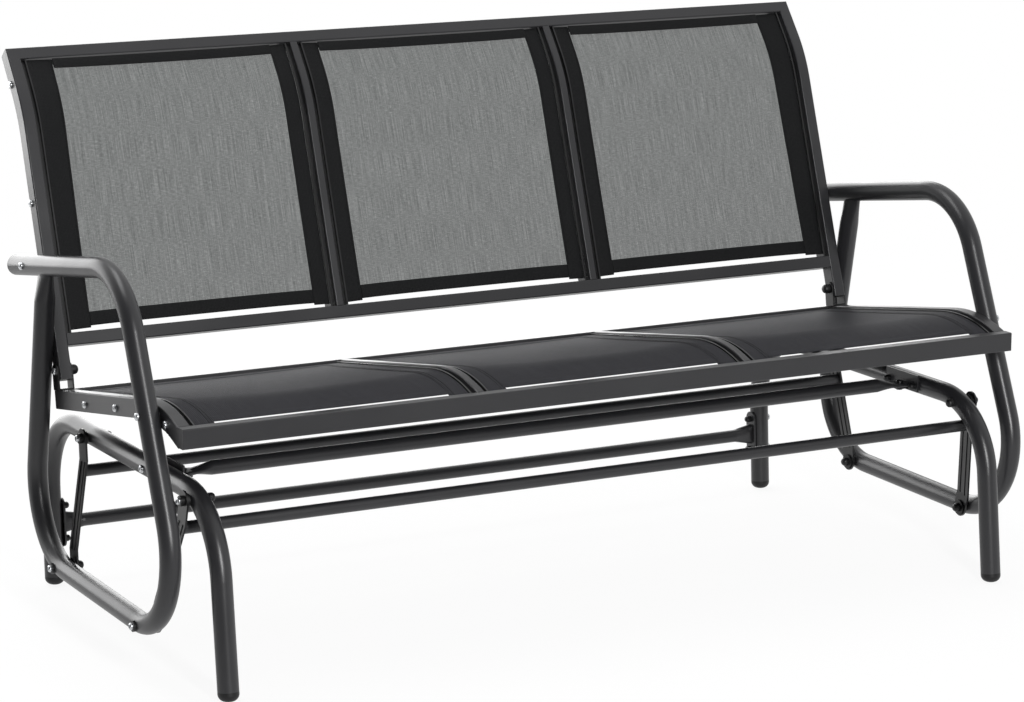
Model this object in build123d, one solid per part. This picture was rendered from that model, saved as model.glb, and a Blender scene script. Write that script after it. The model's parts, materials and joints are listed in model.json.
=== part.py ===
from build123d import *
from math import cos, hypot, radians, sin, sqrt, tan
import os

# A three-place glider bench in millimetres. X runs along the bench, the sitter faces -Y, and Z is up.
# Side profiles are written as (y, z) pairs with y = 0 midway between the front and rear feet.
# At the end the whole bench is moved so that the middle of its box stands on the origin.

# Base frames: one bent round tube on each side, an inverted U
BASE_TUBE = 32.0
BASE_WALL = 1.2
BASE_BEND = 125.0
BASE_INSET = 50.0
BASE_HEIGHT = 286.0
BASE_FRONT_CORNER = -321.0
BASE_REAR_CORNER = 364.0
FRONT_LEG_SPLAY = 6.2
REAR_LEG_TUCK = 3.2

# Feet: plugs in the legs with a domed end below
FOOT_DOME = 12.5
FOOT_ROUND = 11.0
FOOT_STEM = 18.0

# Arm loops: armrest, front post, bottom rail and rear post in one bent round tube
ARM_TUBE = 32.0
ARM_WALL = 1.2
ARM_BEND = 125.0
ARMREST_REAR = 296.7
ARMREST_FRONT = -145.0
ARMREST_HEIGHT = 605.3
ARMREST_RISE = 8.7
ARM_RAIL_FRONT = -370.7
ARM_RAIL_REAR = 259.4
ARM_RAIL_HEIGHT = 86.7
ARM_RAIL_RISE = 0.93
REAR_POST_LEAN = 11.05
POST_PINCH_LENGTH = 40.0
POST_PINCH_WIDTH = 38.0
POST_PINCH_THICKNESS = 20.0
PLUG_DEPTH = 14.0
PLUG_RIM = 2.0

# Rectangular tubes of the seat and back frames
SEAT_WIDTH = 1440.0
RAIL_WIDTH = 20.0
RAIL_DEPTH = 27.0
RAIL_WALL = 1.0
RAIL_CORNER = 2.0
SEAT_RAIL_DEPTH = 30.0
DRAIN_HOLE = 5.0
DIVIDER_WIDTH = 13.0
DIVIDER_SPREAD = 233.3

# Side profile of the seat: a straight rise to the front, then a rounded fall to the front rail
SEAT_CREST = -230.2
SEAT_CREST_HEIGHT = 424.7
SEAT_RISE = 9.15
SEAT_FALL = 19.5
SEAT_BEND = 260.0
FRONT_RAIL_BACK = -300.3
SEAT_BEHIND_HEEL = 3.4

# Side profile of the back: a straight lean, then a bend to the rear near the top
HEEL_AHEAD_OF_POST = 16.7
HEEL_GAP = 10.0
BACK_LEAN = 18.7
BACK_TOP_LEAN = 38.0
BACK_BEND = 250.0
BACK_LOWER_LENGTH = 426.0
BACK_UPPER_LENGTH = 109.0
BACK_BOTTOM_RAIL_UP = 51.2

# Slings and the rails that hold their edges
SLING_THICKNESS = 1.5
SLING_DROP = 4.5
SLING_FRONT_GAP = 8.0
SLING_REAR_GAP = 8.0
SLING_TOP_GAP = 2.0
SLING_BOTTOM_GAP = 7.0
KEDER_WIDTH = 9.0
KEDER_WALL = 1.2
KEDER_LIP = 2.5
KEDER_LIP_DROP = 2.5
KEDER_GROOVE_DROP = 7.5
KEDER_BOTTOM_DROP = 25.5

# U-brackets between the side rails and the uprights
U_PLATE = 2.5
U_WIDTH = 23.0
U_BOLT_UP = 15.2

# Cross tubes of the base
FRONT_CROSS_TUBE = 22.0
FRONT_CROSS_WALL = 1.2
FRONT_CROSS_Y = -124.0
FRONT_CROSS_UP = 1.5
FRONT_CROSS_TAPER = 34.0
FRONT_CROSS_FLAT_LENGTH = 22.0
FRONT_CROSS_FLAT_WIDTH = 31.0
FRONT_CROSS_FLAT = 6.0
REAR_CROSS_TUBE = 22.0
REAR_CROSS_WALL = 1.2
REAR_CROSS_HEIGHT = 99.5
REAR_FLARE_LENGTH = 34.0
REAR_FLARE_HEIGHT = 36.0
REAR_FLARE_WIDTH = 14.0
REAR_PLATE_WIDTH = 26.0
REAR_BOLT_STEP = 27.0
BRACKET_PLATE = 3.0
BRACKET_HEIGHT = 28.0
BRACKET_TAB_WIDTH = 24.0
BRACKET_TAB_UP = 3.0
BRACKET_FRONT_BOLT = 26.0
BRACKET_REAR_BOLT = 46.0
BRACKET_END = 9.0

# Swing links and their bars
LINK_PLATE = 3.0
LINK_WIDTH = 30.0
LINK_UPPER_FLAT = 34.0
LINK_LOWER_FLAT = 26.0
LINK_RIB_WIDTH = 4.0
LINK_RIB_STEP = 6.5
LINK_RIB_RISE = 1.2
LINK_RIB_TOP = 36.0
LINK_RIB_BOTTOM = 25.0
LINK_BAR_TUBE = 19.0
LINK_BAR_WALL = 1.2
FRONT_LINK_BAR_DOWN = 45.5
REAR_LINK_BAR_DOWN = 51.0
FRONT_UPPER_PIVOT = -253.0
FRONT_LOWER_PIVOT = -198.0
REAR_UPPER_PIVOT = 148.5
REAR_LOWER_PIVOT = 135.0
WASHER_DIAMETER = 25.0
WASHER_THICKNESS = 2.5
UPPER_WASHER_DIAMETER = 16.0
UPPER_WASHER_THICKNESS = 5.5
SPACER_DIAMETER = 20.0
SPACER_LENGTH = 4.5
SADDLE_DIAMETER = 17.0
SADDLE_RISE = 3.0
BUSH_WALL = 2.0

# Fasteners
PIVOT_BOLT = 8.0
PIVOT_HEAD = 11.0
PIVOT_HEAD_HEIGHT = 4.5
PIVOT_SOCKET = 5.0
PIVOT_NUT = 14.0
PIVOT_NUT_LENGTH = 10.0
FRAME_BOLT = 6.0
FRAME_HEAD = 12.0
FRAME_HEAD_HEIGHT = 4.0
FRAME_SOCKET = 4.0
FRAME_NUT = 11.0
FRAME_NUT_LENGTH = 10.5
BACK_NUT = 16.0
BACK_NUT_LENGTH = 12.0
POST_BOLT_DROP = 13.0
INSERT_WALL = 2.0
INSERT_LENGTH = 11.0
SCREW = 4.0
SCREW_HEAD = 12.0
SCREW_HEAD_HEIGHT = 4.0
SCREW_CROSS = 6.0
SCREW_SLOT = 1.6
SCREW_DROP = 18.0
SCREW_BITE = 6.0
SEAT_SCREWS = (0.234, 0.503, 0.917)
BACK_SCREWS = (0.082, 0.524, 0.900)

# Clearances
SEAT_GAP = 0.3
SIDE_PLAY = 0.25
RUNNING_FIT = 0.05
SNUG_FIT = 0.03
HOLE_FIT = 0.2
OPEN_PIVOT_PLAY = 1.6


def inset(corners, depth):
    """Three corners of a side profile moved to the left of its direction by depth, square to both runs."""
    (ay, az), (by, bz), (cy, cz) = corners
    first = hypot(by - ay, bz - az)
    second = hypot(cy - by, cz - bz)
    n1y, n1z = -(bz - az) / first, (by - ay) / first
    n2y, n2z = -(cz - bz) / second, (cy - by) / second
    spread = depth / (1 + n1y * n2y + n1z * n2z)
    middle = (by + (n1y + n2y) * spread, bz + (n1z + n2z) * spread)
    return [(ay + n1y * depth, az + n1z * depth), middle, (cy + n2y * depth, cz + n2z * depth)]


def profile_path(x, corners, bend, depth):
    """Path at one x, depth inside a side profile, with its middle corner rounded to a true offset."""
    points = [(x, y, z) for y, z in inset(corners, depth)]
    return FilletPolyline(*points, radius=bend - depth)


def square_to(path):
    """Plane across the start of a path, with its x along the bench."""
    return Plane(origin=path @ 0, x_dir=(1, 0, 0), z_dir=path % 0)


def along(path, section):
    return sweep(square_to(path) * section, path=path)


def round_tube(path, diameter, wall):
    bore = along(path, Circle(diameter / 2 - wall))
    return along(path, Circle(diameter / 2)) - bore


def box_tube(path, width, depth, wall, corner):
    bore = along(path, RectangleRounded(width - 2 * wall, depth - 2 * wall, corner - wall))
    return along(path, RectangleRounded(width, depth, corner)) - bore


def rod(start_x, end_x, spot, diameter):
    """Round bar along X at a (y, z) spot."""
    plane = Plane(origin=(start_x, spot[0], spot[1]), x_dir=(0, 1, 0), z_dir=(1, 0, 0))
    return extrude(plane * Circle(diameter / 2), amount=end_x - start_x)


def ring(start_x, end_x, spot, outside, inside):
    return rod(start_x, end_x, spot, outside) - rod(start_x, end_x, spot, inside)


def hex_socket(size):
    return RegularPolygon(size / 2, 6, major_radius=False)


def cross_slot(length, width):
    return Rectangle(length, width) + Rectangle(width, length)


def button_bolt(face_x, tip_x, spot, shank, head, height, recess):
    """Bolt along X: its rounded head with a recess rests on the face at face_x, its shank runs to tip_x."""
    outward = 1 if face_x > tip_x else -1
    cap = rod(face_x, face_x + outward * height, spot, head)
    rim = cap.edges().sort_by(Axis.X)[-1 if outward > 0 else 0]
    recess_floor = Plane(origin=(face_x + outward * height / 2, *spot), x_dir=(0, 1, 0), z_dir=(1, 0, 0))
    drive = extrude(recess_floor * recess, amount=outward * height / 2)
    return fillet(rim, height * 0.6) - drive + rod(face_x, tip_x, spot, shank)


def cap_nut(face_x, spot, bore, diameter, length, inward):
    """Domed nut along X that rests on the face at face_x and points inward."""
    body = rod(face_x, face_x + inward * length, spot, diameter)
    rim = body.edges().sort_by(Axis.X)[-1 if inward > 0 else 0]
    dome = fillet(rim, diameter * 0.42)
    return dome - rod(face_x, face_x + inward * length * 0.8, spot, bore)


def both(part):
    """A right-hand piece and its mirror image on the left."""
    return [part, mirror(part, about=Plane.YZ)]


def group(parts):
    """Separate pieces that share one name."""
    return Compound([solid for part in parts for solid in part.solids()])


# Positions that follow from the sizes above
seat_half = SEAT_WIDTH / 2
base_spread = seat_half - BASE_INSET
rail_inner = seat_half - RAIL_WIDTH
arm_spread = seat_half + SEAT_GAP + ARM_TUBE / 2
arm_inner = arm_spread - ARM_TUBE / 2
arm_outer = arm_spread + ARM_TUBE / 2
base_inner = base_spread - BASE_TUBE / 2
base_outer = base_spread + BASE_TUBE / 2


def rail_height(y):
    """Height of the arm loop's bottom rail centre line."""
    return ARM_RAIL_HEIGHT + y * tan(radians(ARM_RAIL_RISE))


# The heel of the back stands on the sloping seat, a set distance ahead of the leaning rear post
seat_slope = tan(radians(SEAT_RISE))
post_slope = tan(radians(REAR_POST_LEAN))
heel_lift = (U_PLATE + HEEL_GAP) / cos(radians(SEAT_RISE))
heel_height_at_zero = SEAT_CREST_HEIGHT + SEAT_CREST * seat_slope + heel_lift
post_at_zero = ARM_RAIL_REAR - (heel_height_at_zero - rail_height(ARM_RAIL_REAR)) * post_slope
back_heel = (post_at_zero - HEEL_AHEAD_OF_POST) / (1 - post_slope * seat_slope)
heel_height = SEAT_CREST_HEIGHT - (back_heel - SEAT_CREST) * seat_slope + heel_lift

seat_rear = back_heel + SEAT_BEHIND_HEEL
seat_rear_height = SEAT_CREST_HEIGHT - (seat_rear - SEAT_CREST) * seat_slope
seat_front = FRONT_RAIL_BACK - 2 * SEAT_RAIL_DEPTH
seat_front_height = SEAT_CREST_HEIGHT - (SEAT_CREST - seat_front) * tan(radians(SEAT_FALL))
seat_profile = [
    (seat_rear, seat_rear_height),
    (SEAT_CREST, SEAT_CREST_HEIGHT),
    (seat_front, seat_front_height),
]
front_rail_top = SEAT_CREST_HEIGHT - (SEAT_CREST - FRONT_RAIL_BACK) * tan(radians(SEAT_FALL))
seat_tangent = SEAT_BEND * tan(radians(SEAT_RISE + SEAT_FALL) / 2)
crown_start_height = SEAT_CREST_HEIGHT - seat_tangent * sin(radians(SEAT_RISE))
crown_height = crown_start_height + SEAT_BEND * (1 - cos(radians(SEAT_RISE)))

back_up = (sin(radians(BACK_LEAN)), cos(radians(BACK_LEAN)))
back_in = (cos(radians(BACK_LEAN)), -sin(radians(BACK_LEAN)))
top_up = (sin(radians(BACK_TOP_LEAN)), cos(radians(BACK_TOP_LEAN)))
top_in = (cos(radians(BACK_TOP_LEAN)), -sin(radians(BACK_TOP_LEAN)))
back_foot = (back_heel - RAIL_DEPTH * back_in[0], heel_height - RAIL_DEPTH * back_in[1])
back_corner = (back_foot[0] + BACK_LOWER_LENGTH * back_up[0], back_foot[1] + BACK_LOWER_LENGTH * back_up[1])
back_top = (back_corner[0] + BACK_UPPER_LENGTH * top_up[0], back_corner[1] + BACK_UPPER_LENGTH * top_up[1])
back_profile = [back_top, back_corner, back_foot]

front_foot_y = BASE_FRONT_CORNER - BASE_HEIGHT * tan(radians(FRONT_LEG_SPLAY))
rear_foot_y = BASE_REAR_CORNER - BASE_HEIGHT * tan(radians(REAR_LEG_TUCK))
splay = radians(FRONT_LEG_SPLAY)
dome_draw = FOOT_ROUND * (tan(splay) + 1 / cos(splay) - 1)
front_reach = front_foot_y - BASE_TUBE / 2 / cos(splay) + dome_draw
rear_reach = back_top[0] + RAIL_DEPTH * top_in[0]
centre_y = (front_reach + rear_reach) / 2


def armrest_height(y):
    """Height of the armrest's centre line."""
    return ARMREST_HEIGHT - (y - ARMREST_FRONT) * tan(radians(ARMREST_RISE))


def front_post_y(z):
    """Y of the front post's centre line at a height."""
    low = rail_height(ARM_RAIL_FRONT)
    return ARM_RAIL_FRONT + (z - low) * (ARMREST_FRONT - ARM_RAIL_FRONT) / (ARMREST_HEIGHT - low)


def leg_y(z):
    """Y of the rear leg's centre line at a height."""
    return rear_foot_y + z * tan(radians(REAR_LEG_TUCK))


bend_reach = BASE_BEND * tan(radians(90 - FRONT_LEG_SPLAY) / 2)
bend_centre_y = BASE_FRONT_CORNER + bend_reach
bend_offset = FRONT_UPPER_PIVOT - bend_centre_y
front_upper_height = BASE_HEIGHT - BASE_BEND + sqrt(BASE_BEND ** 2 - bend_offset ** 2)
front_upper = (FRONT_UPPER_PIVOT, front_upper_height)
rear_upper = (REAR_UPPER_PIVOT, BASE_HEIGHT)
front_lower = (FRONT_LOWER_PIVOT, rail_height(FRONT_LOWER_PIVOT))
rear_lower = (REAR_LOWER_PIVOT, rail_height(REAR_LOWER_PIVOT))
upper_pivots = [front_upper, rear_upper]
lower_pivots = [front_lower, rear_lower]

# Stack of pieces along X at the upper pivots, from the base tube outwards
upper_link_in = base_outer + SPACER_LENGTH + SIDE_PLAY
upper_link_out = upper_link_in + LINK_PLATE
upper_washer_in = upper_link_out + SIDE_PLAY
upper_head = upper_washer_in + UPPER_WASHER_THICKNESS

# Stack of pieces along X at the lower pivots, from the arm tube inwards
lower_link_out = arm_inner - WASHER_THICKNESS - SIDE_PLAY
lower_link_in = lower_link_out - LINK_PLATE
lower_washer_out = lower_link_in - SIDE_PLAY
lower_nut = lower_washer_out - WASHER_THICKNESS

nodes = {}

# Base frames with holes for the pivot bolts, the bracket bolts and the rear cross bolts
front_tip = FOOT_DOME + BASE_TUBE / 2 * sin(radians(FRONT_LEG_SPLAY))
rear_tip = FOOT_DOME + BASE_TUBE / 2 * sin(radians(REAR_LEG_TUCK))
base_path = FilletPolyline(
    (base_spread, leg_y(rear_tip), rear_tip),
    (base_spread, BASE_REAR_CORNER, BASE_HEIGHT),
    (base_spread, BASE_FRONT_CORNER, BASE_HEIGHT),
    (base_spread, front_foot_y + front_tip * tan(radians(FRONT_LEG_SPLAY)), front_tip),
    radius=BASE_BEND,
)
bracket_spots = [(FRONT_CROSS_Y + step, BASE_HEIGHT) for step in (-BRACKET_FRONT_BOLT, BRACKET_REAR_BOLT)]
rear_cross = (leg_y(REAR_CROSS_HEIGHT), REAR_CROSS_HEIGHT)
rear_heights = [REAR_CROSS_HEIGHT - REAR_BOLT_STEP, REAR_CROSS_HEIGHT + REAR_BOLT_STEP]
rear_spots = [(leg_y(z), z) for z in rear_heights]
base_frame = round_tube(base_path, BASE_TUBE, BASE_WALL)
for spot in upper_pivots:
    base_frame -= rod(base_inner, base_outer, spot, PIVOT_BOLT + 2 * HOLE_FIT)
for spot in bracket_spots + rear_spots:
    base_frame -= rod(base_inner, base_outer, spot, FRAME_BOLT + 2 * HOLE_FIT)
nodes["base_frame_right"], nodes["base_frame_left"] = both(base_frame)


def foot_plug(foot_y, lean, tip):
    """Plug in a leg's end with a domed foot below it, flat where it stands on the floor."""
    leg_way = (0, sin(radians(lean)), cos(radians(lean)))
    leg = Plane(origin=(base_spread, foot_y, 0), x_dir=(1, 0, 0), z_dir=leg_way)
    leg_end = tip / cos(radians(lean))
    dome = extrude(leg.offset(-FOOT_DOME) * Circle(BASE_TUBE / 2), amount=FOOT_DOME + leg_end)
    floor = Plane(origin=(base_spread, foot_y, 0))
    dome = split(dome, bisect_by=floor, keep=Keep.TOP)
    dome = fillet(dome.edges().group_by(Axis.Z)[0], FOOT_ROUND)
    stem = Circle(BASE_TUBE / 2 - BASE_WALL - SNUG_FIT)
    return dome + extrude(leg.offset(leg_end) * stem, amount=FOOT_STEM)


front_foot = foot_plug(front_foot_y, FRONT_LEG_SPLAY, front_tip)
rear_foot = foot_plug(rear_foot_y, REAR_LEG_TUCK, rear_tip)
nodes["foot_front_right"], nodes["foot_front_left"] = both(front_foot)
nodes["foot_rear_right"], nodes["foot_rear_left"] = both(rear_foot)

# Angle brackets under the pressed ends of the front cross tube, their lower edges level with its underside
bracket_inner = base_inner - BRACKET_PLATE
cross_height = BASE_HEIGHT + FRONT_CROSS_UP
bracket_bottom = cross_height - FRONT_CROSS_TUBE / 2
tab_bottom = bracket_bottom + BRACKET_TAB_UP
tab_top = tab_bottom + BRACKET_PLATE
flat_height = tab_top + FRONT_CROSS_FLAT / 2
tab_tip = bracket_inner - SEAT_GAP - FRONT_CROSS_FLAT_LENGTH
tab_bolt_x = bracket_inner - SEAT_GAP - FRONT_CROSS_FLAT_LENGTH / 2
bracket_length = BRACKET_FRONT_BOLT + BRACKET_REAR_BOLT + 2 * BRACKET_END
bracket_middle = FRONT_CROSS_Y + (BRACKET_REAR_BOLT - BRACKET_FRONT_BOLT) / 2
wall_plate = Pos(base_inner - BRACKET_PLATE / 2, bracket_middle, bracket_bottom + BRACKET_HEIGHT / 2)
bracket = wall_plate * Box(BRACKET_PLATE, bracket_length, BRACKET_HEIGHT)
tab_length = base_inner - tab_tip
tab_centre = Pos((base_inner + tab_tip) / 2, FRONT_CROSS_Y, tab_bottom + BRACKET_PLATE / 2)
bracket += tab_centre * Box(tab_length, BRACKET_TAB_WIDTH, BRACKET_PLATE)
for spot in bracket_spots:
    bracket -= rod(bracket_inner, base_inner, spot, FRAME_BOLT + 2 * HOLE_FIT)
tab_hole = Cylinder(FRAME_BOLT / 2 + HOLE_FIT, 4 * BRACKET_PLATE)
bracket -= Pos(tab_bolt_x, FRONT_CROSS_Y, tab_top) * tab_hole
nodes["cross_bracket_right"], nodes["cross_bracket_left"] = both(bracket)

# Front cross tube with its ends pressed low and wide
taper_end = bracket_inner - SEAT_GAP - FRONT_CROSS_FLAT_LENGTH
taper_start = taper_end - FRONT_CROSS_TAPER
cross_spot = (FRONT_CROSS_Y, cross_height)
round_end = Plane(origin=(taper_start, *cross_spot), x_dir=(0, 1, 0), z_dir=(1, 0, 0))
flat_end = Plane(origin=(taper_end, FRONT_CROSS_Y, flat_height), x_dir=(0, 1, 0), z_dir=(1, 0, 0))


def pressed_end(shrink):
    """End of the front cross tube, pressed from round to a low slot, made smaller all round by shrink."""
    low = SlotOverall(FRONT_CROSS_FLAT_WIDTH - 2 * shrink, FRONT_CROSS_FLAT - 2 * shrink)
    taper = loft([round_end * Circle(FRONT_CROSS_TUBE / 2 - shrink), flat_end * low])
    return taper + extrude(flat_end * low, amount=FRONT_CROSS_FLAT_LENGTH)


cross_end = pressed_end(0) - pressed_end(FRONT_CROSS_WALL)
cross_end -= Pos(tab_bolt_x, FRONT_CROSS_Y, flat_height) * tab_hole
front_bore = FRONT_CROSS_TUBE - 2 * FRONT_CROSS_WALL
front_cross = ring(-taper_start, taper_start, cross_spot, FRONT_CROSS_TUBE, front_bore)
nodes["front_cross_tube"] = front_cross + both(cross_end)

# Rear cross tube with ends pressed tall and a bolt plate welded on each
plate_height = 2 * REAR_BOLT_STEP + REAR_PLATE_WIDTH
plate_plane = Plane(
    origin=(base_inner - BRACKET_PLATE, rear_cross[0], rear_cross[1]),
    x_dir=(0, sin(radians(REAR_LEG_TUCK)), cos(radians(REAR_LEG_TUCK))),
    z_dir=(1, 0, 0),
)
rear_plate = extrude(plate_plane * SlotOverall(plate_height, REAR_PLATE_WIDTH), amount=BRACKET_PLATE)
for spot in rear_spots:
    rear_plate -= rod(bracket_inner, base_inner, spot, FRAME_BOLT + 2 * HOLE_FIT)
flare_start = plate_plane.offset(-REAR_FLARE_LENGTH)


def rear_flare(shrink):
    """End of the rear cross tube, pressed from round to a tall slot, made smaller all round by shrink."""
    tall = SlotOverall(REAR_FLARE_HEIGHT - 2 * shrink, REAR_FLARE_WIDTH - 2 * shrink)
    return loft([flare_start * Circle(REAR_CROSS_TUBE / 2 - shrink), plate_plane * tall])


flare_x = bracket_inner - REAR_FLARE_LENGTH
rear_bore = REAR_CROSS_TUBE - 2 * REAR_CROSS_WALL
rear_tube = ring(-flare_x, flare_x, rear_cross, REAR_CROSS_TUBE, rear_bore)
rear_end = rear_flare(0) - rear_flare(REAR_CROSS_WALL) + rear_plate
nodes["rear_cross_tube"] = rear_tube + both(rear_end)

# Bolts and cap nuts of the base
frame_socket = hex_socket(FRAME_SOCKET)
base_bolts = []
base_nuts = []
for spot in bracket_spots + rear_spots:
    tip = bracket_inner - FRAME_NUT_LENGTH * 0.7
    bolt = button_bolt(base_outer, tip, spot, FRAME_BOLT, FRAME_HEAD, FRAME_HEAD_HEIGHT, frame_socket)
    base_bolts += both(bolt)
    thread = FRAME_BOLT + 2 * SNUG_FIT
    base_nuts += both(cap_nut(bracket_inner, spot, thread, FRAME_NUT, FRAME_NUT_LENGTH, -1))
nodes["base_bolts"] = group(base_bolts)
nodes["base_nuts"] = group(base_nuts)

# Upright bolts and nuts through the pressed ends of the front cross tube
flat_top = tab_top + FRONT_CROSS_FLAT
tab_nut_height = FRAME_BOLT * 0.5
tab_bolt_length = flat_top - tab_bottom + tab_nut_height
tab_seat = Pos(tab_bolt_x, FRONT_CROSS_Y, flat_top)
tab_head = tab_seat * Pos(0, 0, FRAME_HEAD_HEIGHT / 2) * Cylinder(FRAME_HEAD / 2, FRAME_HEAD_HEIGHT)
tab_head = fillet(tab_head.edges().group_by(Axis.Z)[-1], FRAME_HEAD_HEIGHT * 0.6)
tab_shank = tab_seat * Pos(0, 0, -tab_bolt_length / 2) * Cylinder(FRAME_BOLT / 2, tab_bolt_length)
nodes["cross_tube_bolts"] = group(both(tab_head + tab_shank))
tab_nut_section = RegularPolygon(FRAME_NUT / 2, 6) - Circle(FRAME_BOLT / 2 + SNUG_FIT)
tab_nut = Pos(tab_bolt_x, FRONT_CROSS_Y, tab_bottom) * extrude(tab_nut_section, amount=-tab_nut_height)
nodes["cross_tube_nuts"] = group(both(tab_nut))

# Pivot bolts, cap nuts and washers: the upper ones stay with the base, the lower ones with the arms
upper_bolts = []
upper_nuts = []
upper_washers = []
pivot_thread = PIVOT_BOLT + 2 * SNUG_FIT
pivot_socket = hex_socket(PIVOT_SOCKET)
for spot in upper_pivots:
    tip = base_inner - PIVOT_NUT_LENGTH * 0.7
    bolt = button_bolt(upper_head, tip, spot, PIVOT_BOLT, PIVOT_HEAD, PIVOT_HEAD_HEIGHT, pivot_socket)
    upper_bolts += both(bolt)
    upper_nuts += both(cap_nut(base_inner, spot, pivot_thread, PIVOT_NUT, PIVOT_NUT_LENGTH, -1))
    spacer = ring(base_outer, base_outer + SPACER_LENGTH, spot, SPACER_DIAMETER, pivot_thread)
    washer = ring(upper_washer_in, upper_head, spot, UPPER_WASHER_DIAMETER, pivot_thread)
    upper_washers += both(spacer) + both(washer)
nodes["upper_pivot_bolts"] = group(upper_bolts)
nodes["upper_pivot_nuts"] = group(upper_nuts)
nodes["upper_pivot_washers"] = group(upper_washers)

# The lower bolts' heads rest on saddles that fit the round arm tube
arm_path = FilletPolyline(
    (arm_spread, ARMREST_REAR, armrest_height(ARMREST_REAR)),
    (arm_spread, ARMREST_FRONT, ARMREST_HEIGHT),
    (arm_spread, ARM_RAIL_FRONT, rail_height(ARM_RAIL_FRONT)),
    (arm_spread, ARM_RAIL_REAR, rail_height(ARM_RAIL_REAR)),
    (
        arm_spread,
        ARM_RAIL_REAR - (ARMREST_HEIGHT - ARM_RAIL_HEIGHT) / 2 * tan(radians(REAR_POST_LEAN)),
        rail_height(ARM_RAIL_REAR) + (ARMREST_HEIGHT - ARM_RAIL_HEIGHT) / 2,
    ),
    radius=ARM_BEND,
)
saddle_seat = along(arm_path, Circle(ARM_TUBE / 2 + SNUG_FIT))
saddle_face = arm_outer + SADDLE_RISE
lower_bolts = []
lower_nuts = []
lower_washers = []
for spot in lower_pivots:
    tip = lower_nut - PIVOT_NUT_LENGTH * 0.7
    bolt = button_bolt(saddle_face, tip, spot, PIVOT_BOLT, PIVOT_HEAD, PIVOT_HEAD_HEIGHT, pivot_socket)
    lower_bolts += both(bolt)
    lower_washers += both(ring(arm_spread, saddle_face, spot, SADDLE_DIAMETER, pivot_thread) - saddle_seat)
    lower_nuts += both(cap_nut(lower_nut, spot, pivot_thread, PIVOT_NUT, PIVOT_NUT_LENGTH, -1))
    for face in (arm_inner, lower_washer_out):
        lower_washers += both(ring(face - WASHER_THICKNESS, face, spot, WASHER_DIAMETER, pivot_thread))
nodes["lower_pivot_bolts"] = group(lower_bolts)
nodes["lower_pivot_nuts"] = group(lower_nuts)
nodes["lower_pivot_washers"] = group(lower_washers)


def link_strip(upper, lower, shift, thickness):
    """Joggled strip between two pivots: flat at both ends and slanting between, moved outwards by shift."""
    length = hypot(lower[0] - upper[0], lower[1] - upper[1])
    down = ((lower[0] - upper[0]) / length, (lower[1] - upper[1]) / length)
    across = Plane(origin=(0, upper[0], upper[1]), x_dir=(1, 0, 0), z_dir=(0, down[1], -down[0]))
    inside = [
        (upper_link_in + shift, LINK_WIDTH / 2),
        (upper_link_in + shift, -LINK_UPPER_FLAT),
        (lower_link_in + shift, -length + LINK_LOWER_FLAT),
        (lower_link_in + shift, -length - LINK_WIDTH / 2),
    ]
    outside = [(x + thickness, s) for x, s in reversed(inside)]
    edge = make_face(Polyline(*inside, *outside, close=True))
    return extrude(across * edge, amount=LINK_WIDTH / 2, both=True)


def swing_link(upper, lower):
    """Link plate with round ends and two pressed ribs."""
    length = hypot(lower[0] - upper[0], lower[1] - upper[1])
    down = ((lower[0] - upper[0]) / length, (lower[1] - upper[1]) / length)
    side = Plane(origin=(0, upper[0], upper[1]), x_dir=(0, down[0], down[1]), z_dir=(1, 0, 0))
    outline = side * Pos(length / 2, 0) * SlotCenterToCenter(length, LINK_WIDTH)
    plate = link_strip(upper, lower, 0, LINK_PLATE) & extrude(outline, amount=arm_inner)
    rib_length = length - LINK_RIB_TOP - LINK_RIB_BOTTOM
    rib_middle = LINK_RIB_TOP + rib_length / 2
    for step in (-LINK_RIB_STEP, LINK_RIB_STEP):
        slot = side * Pos(rib_middle, step) * SlotOverall(rib_length, LINK_RIB_WIDTH)
        column = extrude(slot, amount=arm_inner)
        plate = plate - column + (link_strip(upper, lower, LINK_RIB_RISE, LINK_PLATE) & column)
    hole = PIVOT_BOLT + 2 * (RUNNING_FIT + BUSH_WALL + SNUG_FIT)
    plate -= rod(upper_link_in, upper_link_out, upper, hole)
    return plate


def link_bush(face_x, spot, bore):
    """Plain bush in a link, as long as the plate is thick."""
    return ring(face_x, face_x + LINK_PLATE, spot, bore + 2 * BUSH_WALL, bore)


running_bore = PIVOT_BOLT + 2 * RUNNING_FIT
open_bore = PIVOT_BOLT + 2 * OPEN_PIVOT_PLAY
bar_bore = LINK_BAR_TUBE - 2 * LINK_BAR_WALL
for name, upper, lower, lower_bore, bar_down in (
    ("front_link", front_upper, front_lower, running_bore, FRONT_LINK_BAR_DOWN),
    ("rear_link", rear_upper, rear_lower, open_bore, REAR_LINK_BAR_DOWN),
):
    lower_hole = lower_bore + 2 * (BUSH_WALL + SNUG_FIT)
    link = swing_link(upper, lower) - rod(lower_link_in, lower_link_out, lower, lower_hole)
    nodes[name + "_right"], nodes[name + "_left"] = both(link)
    reach = bar_down / hypot(lower[0] - upper[0], lower[1] - upper[1])
    bar_spot = (upper[0] + (lower[0] - upper[0]) * reach, upper[1] + (lower[1] - upper[1]) * reach)
    bar = ring(-lower_link_in, lower_link_in, bar_spot, LINK_BAR_TUBE, bar_bore)
    nodes[name + "_bar"] = bar - both(link_strip(upper, lower, 0, arm_inner))
    upper_bush = link_bush(upper_link_in, upper, running_bore)
    lower_bush = link_bush(lower_link_in, lower, lower_bore)
    nodes[name + "_bushes"] = group(both(upper_bush) + both(lower_bush))

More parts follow.
